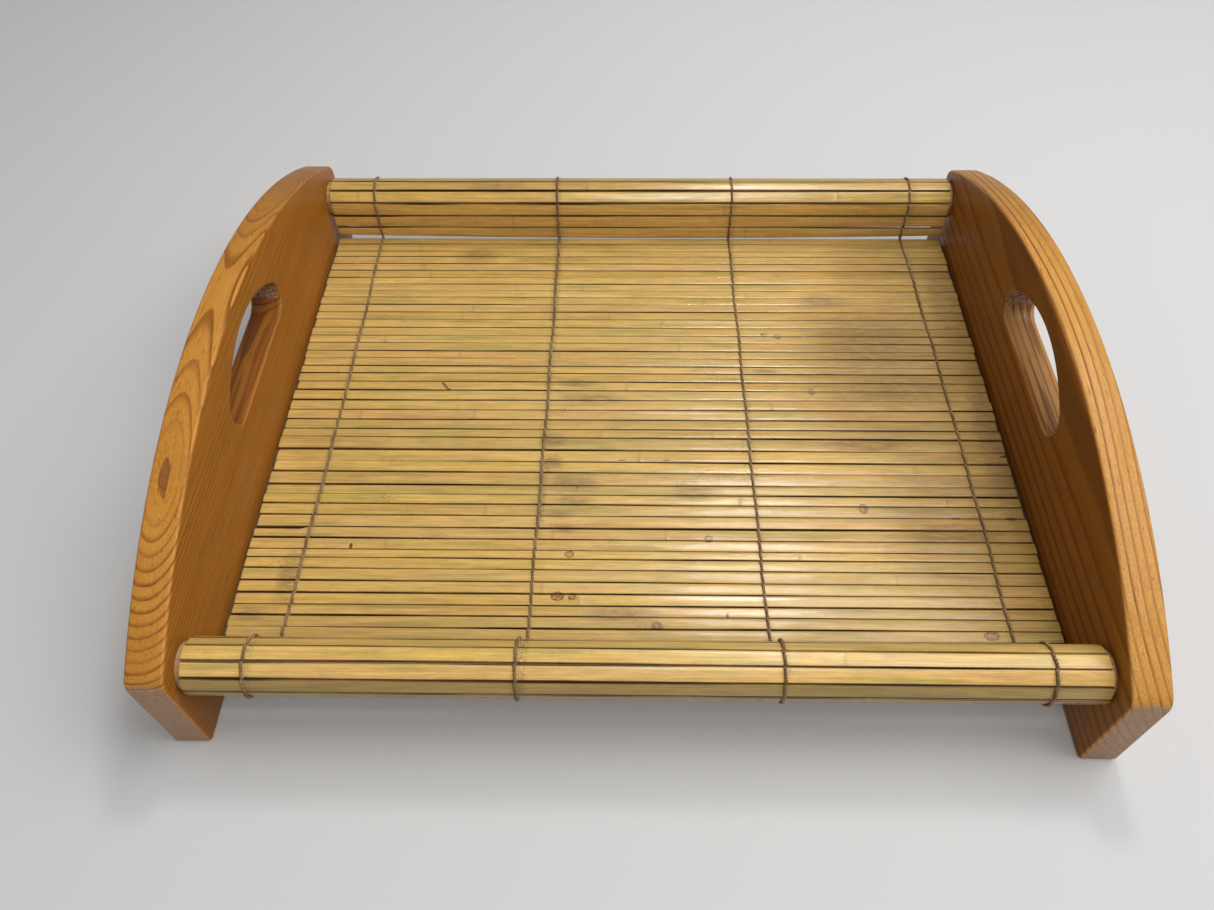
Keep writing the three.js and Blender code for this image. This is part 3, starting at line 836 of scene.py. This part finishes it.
def floor_slats():
    """The floor's slats from front to back, of uneven width, with uneven seams between them."""
    count = len(FLOOR_SLATS)
    shares = np.clip(rng.normal(1, 0.13, count), 0.72, 1.28)
    tight_share = np.where(np.arange(count) < CLOSE_FROM, 0.3, 0.75)
    is_tight = rng.random(count) < tight_share
    gaps = np.where(is_tight, rng.uniform(0.12, 0.22, count), rng.uniform(0.32, 0.60, count)) * MM
    share = shares / shares.sum()
    # Where the seams would be without the bold ones: the nearest one to each chosen place gets opened.
    seams = -WALL_Y + np.cumsum(share * (2 * WALL_Y - gaps.sum()) + gaps)
    for y in BOLD_SEAMS:
        gaps[np.argmin(abs(seams - y))] = BOLD_GAP
    widths = share * (2 * WALL_Y - gaps.sum())
    slats = []
    edge = -WALL_Y
    for index, (width, gap) in enumerate(zip(widths, gaps)):
        centre = edge + gap / 2 + width / 2
        edge += width + gap
        skew = rng.normal(0, 0.12 * MM)
        for slat_index, end, opening in OPEN_SEAMS:
            if slat_index == index:
                skew += end * opening
        slat = Slat(f"mat_slat_{index + 1:02d}", (centre, FLOOR_TOP - SLAT_THICKNESS), math.pi / 2,
                    width, skew, node_places())
        if index == SPLIT_SLAT:
            slat.split = SPLIT_DEPTH
        slats.append(slat)
    return slats


# Each wall slat's foot and top, how much wider it is in the middle (a share) and how far it sags there.
WALL_SLATS = (
    (27.4 * MM, 33.4 * MM, 0.45, 1.2 * MM),
    (34.8 * MM, 42.9 * MM, 0.10, 0.6 * MM),
)
# The seams between the wrapped slats, in degrees from the tray's inside over the top to the outside.
ROLL_SEAMS = {
    "front_rim": (-18, 14, 45, 73, 107, 141, 175, 209, 243),
    "back_rim": (-18, 24, 60, 94, 130, 164, 198, 232, 265),
}
# Painted light and shade on each of these slats, from the wall's foot up and over: paler where a slat faces the
# light, darker where it turns away.
RIM_LIGHT_AND_SHADE = {
    "front_rim": (1.0, 1.0, 1.0, 1.0, 0.93, 1.20, 1.20, 0.68, 0.70, 0.85),
    "back_rim": (1.15, 1.18, 1.38, 1.20, 0.86, 0.86, 1.0, 1.0, 1.0, 1.0),
}


def rim_slats(side, label):
    """The slats of one wall and one roll, from the wall's foot up and over. side is -1 at the front."""
    places = []
    for low, high, _, _ in WALL_SLATS:
        places.append(((ROLL_RADIUS, (low + high) / 2 - RIM_Z), 0.0, high - low))
    for low, high in zip(ROLL_SEAMS[label], ROLL_SEAMS[label][1:]):
        angle = math.radians(low + high) / 2
        gap = rng.uniform(0.10, 0.4) * MM
        width = 2 * ROLL_RADIUS * math.tan(math.radians(high - low) / 2) - gap
        places.append(((ROLL_RADIUS * math.cos(angle), ROLL_RADIUS * math.sin(angle)), angle, width))
    slats = []
    for index, (base, angle, width) in enumerate(places):
        # Drawn for the front, where the inside of the tray is at +Y, and mirrored for the back.
        y = side * RIM_Y - side * base[0]
        normal = angle if side < 0 else math.pi - angle
        slat = Slat(f"{label}_slat_{index + 1:02d}", (y, RIM_Z + base[1]), normal, width,
                    rng.normal(0, 0.10 * MM), node_places())
        # Painted light and shade: the slat's tone is scaled for how it faces the light.
        slat.tone *= RIM_LIGHT_AND_SHADE[label][index]
        if index < len(WALL_SLATS):
            slat.belly = WALL_SLATS[index][2]
            slat.sag = WALL_SLATS[index][3] * (1 if side < 0 else -1)
        slats.append(slat)
    return slats


# ======================================== threads

YARN_RADIUS = 0.48 * MM  # of each of the yarn's two plies
PLY_OFFSET = 0.36 * MM
TWIST_LENGTH = 3.6 * MM
YARN_STEP = 0.45 * MM
YARN_SIDES = 12
STITCH_SLANT = 0.22 * MM
# A strand's guide points on each slat: (place across it, height, slant), as shares of what they can be.
STITCH = ((-0.93, 0.75, -1), (-0.6, 1.0, -0.6), (0, 1.05, 0), (0.6, 1.0, 0.6), (0.93, 0.75, 1))


def thread_wander(index, y):
    """How far a thread strays from its straight line at y."""
    aside, bow, slope = THREAD_WANDER[index]
    share = y / RIM_Y
    return aside + bow * (1 - share**2) + slope * share + THREAD_WOBBLE * math.sin(y * WOBBLE_RATE + index)


def strand_points(index, slats, strand):
    """Guide points of one strand of a twined pair: over one slat, under the next, crossing its partner."""
    points = []
    reach = YARN_RADIUS + 0.5 * PLY_OFFSET
    inner = SLAT_THICKNESS / 2
    for number, slat in enumerate(slats):
        x = THREAD_X[index] + thread_wander(index, slat.base[0])
        over = (number + strand) % 2 == 0
        level = SLAT_THICKNESS + slat.lift + reach if over else slat.lift - 0.5 * reach
        slant = -STITCH_SLANT if over else STITCH_SLANT
        middle = slat.base + slat.along * slat.drift(x)
        half = slat.half_width(x)
        for share, height, lean in STITCH:
            w = inner + (level - inner) * height
            place = middle + slat.along * (share * half) + slat.normal * w
            points.append((x + lean * slant, *place))
    return np.array(points)


def smooth_path(points, step):
    """A Catmull-Rom curve through the points, sampled at even steps."""
    padded = np.vstack([2 * points[0] - points[1], points, 2 * points[-1] - points[-2]])
    samples = []
    for a, b, c, d in zip(padded, padded[1:], padded[2:], padded[3:]):
        slope, square, cube = c - a, 2 * a - 5 * b + 4 * c - d, 3 * b - a - 3 * c + d
        for t in np.linspace(0, 1, 6, endpoint=False):
            samples.append(0.5 * (2 * b + slope * t + square * t**2 + cube * t**3))
    samples = np.array(samples + [points[-1]])
    lengths = np.concatenate([[0], np.cumsum(np.linalg.norm(np.diff(samples, axis=0), axis=1))])
    even = np.linspace(0, lengths[-1], max(2, int(lengths[-1] / step)))
    return np.column_stack([np.interp(even, lengths, samples[:, i]) for i in range(3)]), even


def yarn_rings(path, lengths):
    """Sections of a two-ply yarn that turn as they go along the path."""
    tangents = np.gradient(path, axis=0)
    tangents /= np.linalg.norm(tangents, axis=1, keepdims=True)
    side = np.tile([1.0, 0, 0], (len(path), 1))
    side -= tangents * (side * tangents).sum(1, keepdims=True)
    side /= np.linalg.norm(side, axis=1, keepdims=True)
    up = np.cross(tangents, side)
    angles = np.linspace(0, 2 * math.pi, YARN_SIDES, endpoint=False)
    lobe = np.abs(np.cos(angles))
    radius = YARN_RADIUS + PLY_OFFSET * lobe**1.5
    rings, ply = [], []
    for centre, length, s, u in zip(path, lengths, side, up):
        turn = angles + 2 * math.pi * length / TWIST_LENGTH
        rings.append(centre + np.outer(radius * np.cos(turn), s) + np.outer(radius * np.sin(turn), u))
        ply.append(lobe)
    return np.vstack(rings), np.concatenate(ply)


def build_thread(index, slats, material):
    vertices, faces, ply = [], [], []
    for strand in (0, 1):
        path, lengths = smooth_path(strand_points(index, slats, strand), YARN_STEP)
        rings, lobes = yarn_rings(path, lengths)
        start = sum(len(v) for v in vertices)
        faces += [tuple(start + i for i in face) for face in loft_faces(len(path), YARN_SIDES)]
        vertices.append(rings)
        ply.append(lobes)
    obj = new_object(f"string_{index + 1}", np.vstack(vertices), faces)
    smooth_by_angle(obj, 60)
    store(obj, "ply", np.concatenate(ply))
    return finish_piece(obj, material, "string", THREADS[index])


# ======================================== the tray

KNOT = (-219.5 * MM, -102 * MM, 98.5 * MM)  # on the left panel's top edge, where the pith comes out
LEFT_LEAN = 0.0166
RIGHT_SHIFT = -3.8 * MM

left_pine = pine("pine_left", pith=KNOT, pith_slope=-0.02, ring=2.6 * MM,
                 early=(0.57, 0.255, 0.040), late=(0.21, 0.058, 0.006), side_contrast=0.75,
                 painted_side_shade=(0.66, 0.56, 0.34), hole_light_and_shade=(0.55, 0.44, 0.36), knot=KNOT)
right_pine = pine("pine_right", pith=(312 * MM, 0, 100 * MM), pith_slope=0.0, ring=3.9 * MM,
                  early=(0.62, 0.31, 0.066), late=(0.24, 0.068, 0.011), side_contrast=1.0,
                  painted_side_shade=(0.57, 0.43, 0.22), hole_light_and_shade=(0.95, 1.02, 1.65))
side_panel("left_panel_board", -1, left_pine, "left_side_panel", lean=LEFT_LEAN)
side_panel("right_panel_board", 1, right_pine, "right_side_panel", shift=RIGHT_SHIFT)

bar_wood = bare_wood("bar_wood", (0.50, 0.31, 0.14), (0.36, 0.20, 0.085), 420)
rim_dowel("front_rim_bar", "front_rim_dowel", bar_wood)
rim_dowel("back_rim_bar", "back_rim_dowel", bar_wood)
eased_bar("front_floor_bar", "front_floor_rail", bar_wood, "bar_wood")
eased_bar("back_floor_bar", "back_floor_rail", bar_wood, "bar_wood")
eased_bar("floor_base_sheet", "floor_board", hardboard(), "board", edge=0.5 * MM)

front = rim_slats(-1, "front_rim")
floor = floor_slats()
back = rim_slats(1, "back_rim")
slat_material = bamboo_material()
for slat in front:
    build_slat(slat, slat_material, "front_rim_slats")
for slat, node in zip(floor, FLOOR_SLATS):
    build_slat(slat, slat_material, node)
for slat in back:
    build_slat(slat, slat_material, "back_rim_slats")

mat_order = front[::-1] + floor + back
yarn = string_material()
for index in range(len(THREADS)):
    build_thread(index, mat_order, yarn)


# ======================================== floor, light and camera

WORLD_STRENGTH = 0.22
FLOOR_REACH = 4.0


def studio():
    corners = [(x * FLOOR_REACH, y * FLOOR_REACH, 0) for x, y in ((-1, -1), (1, -1), (1, 1), (-1, 1))]
    ground = new_object("studio_floor", corners, [(0, 1, 2, 3)])
    s = Shader("studio_floor")
    place, *_ = s.place()
    # Far from the tray the floor takes on the world's own shade, so that no horizon shows.
    far = s.step(s.length(place), 0.9, 3.2)
    s.put(s.principled.inputs["Emission Color"], (1.0, 1.0, 1.0, 1))
    s.put(s.principled.inputs["Emission Strength"], s.math("MULTIPLY", far, WORLD_STRENGTH))
    near_color = s.mix(s.noise(place, 3.0), (0.60, 0.60, 0.60), (0.62, 0.62, 0.62))
    s.finish(s.mix(far, near_color, (0.0, 0.0, 0.0)), 0.9, 0.0, 0.0)
    ground.data.materials.append(s.material)
    world = bpy.data.worlds.new("studio")
    bpy.context.scene.world = world
    world.use_nodes = True
    background = world.node_tree.nodes["Background"]
    background.inputs["Color"].default_value = (1.0, 1.0, 1.0, 1)
    background.inputs["Strength"].default_value = WORLD_STRENGTH


def area_light(name, location, size, power, color):
    """A round area light aimed at the frame's origin, under the middle of the tray."""
    light = bpy.data.lights.new(name, "AREA")
    light.shape = "DISK"
    light.size = size
    light.energy = power
    light.color = color
    obj = bpy.data.objects.new(name, light)
    bpy.context.scene.collection.objects.link(obj)
    obj.location = location
    obj.rotation_mode = "QUATERNION"
    obj.rotation_quaternion = (-Vector(location)).to_track_quat("-Z", "Y")


CAMERA_PLACE = (-9.1 * MM, -357.7 * MM, 443.7 * MM)
CAMERA_PITCH = math.radians(52.00)  # below the horizon
CAMERA_YAW = math.radians(1.62)  # to the left of +Y
CAMERA_ROLL = math.radians(-0.94)
CAMERA_LENS = 28.01  # mm, on a 36 mm wide sensor


def camera():
    data = bpy.data.cameras.new("camera")
    data.sensor_width = 36
    data.lens = CAMERA_LENS
    data.clip_start = 0.01
    obj = bpy.data.objects.new("camera", data)
    bpy.context.scene.collection.objects.link(obj)
    turn = Matrix.Rotation(CAMERA_YAW, 4, "Z") @ Matrix.Rotation(math.pi / 2 - CAMERA_PITCH, 4, "X")
    obj.matrix_world = Matrix.Translation(CAMERA_PLACE) @ turn @ Matrix.Rotation(CAMERA_ROLL, 4, "Z")
    bpy.context.scene.camera = obj


studio()
WARM_WHITE = (1.0, 0.98, 0.95)
area_light("ceiling_lamp", (0.26, 0.71, 1.43), 0.30, 5.5, WARM_WHITE)
area_light("front_lamp", (0.15, -0.90, 1.30), 0.50, 6, WARM_WHITE)
area_light("softbox", (0.75, 0.05, 1.40), 1.4, 17, (1.0, 1.0, 1.0))
camera()
bpy.context.scene.view_settings.view_transform = "Standard"
